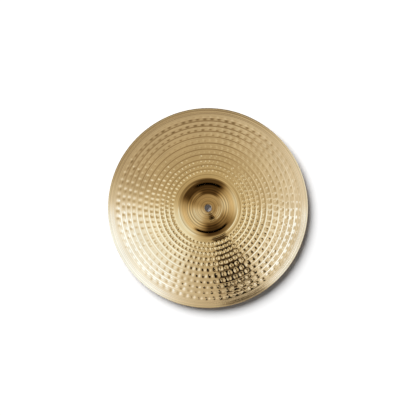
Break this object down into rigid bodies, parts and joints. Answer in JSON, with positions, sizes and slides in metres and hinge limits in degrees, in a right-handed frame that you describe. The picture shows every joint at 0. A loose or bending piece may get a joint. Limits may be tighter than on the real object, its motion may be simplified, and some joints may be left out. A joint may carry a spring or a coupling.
{
  "type": "crash cymbal",
  "caption": "Thin round bronze crash cymbal with a raised bell, a hammered and lathed bow, a plain edge and a central hole for a stand.",
  "frame": {"origin": "centre of the plane that the rim rests on, below the centre of the hole, with the bell upwards", "axes": "+Z along the cymbal's axis, out of the top of the bell; X and Y are equal, because the body is round"},
  "size_m": [0.3556, 0.3556, 0.0337],
  "materials": {
    "bronze": "polished cast bronze, hammered, with fine turned grooves"
  },
  "bodies": {
    "root": {"cymbal": "bronze"}
  },
  "joints": []
}
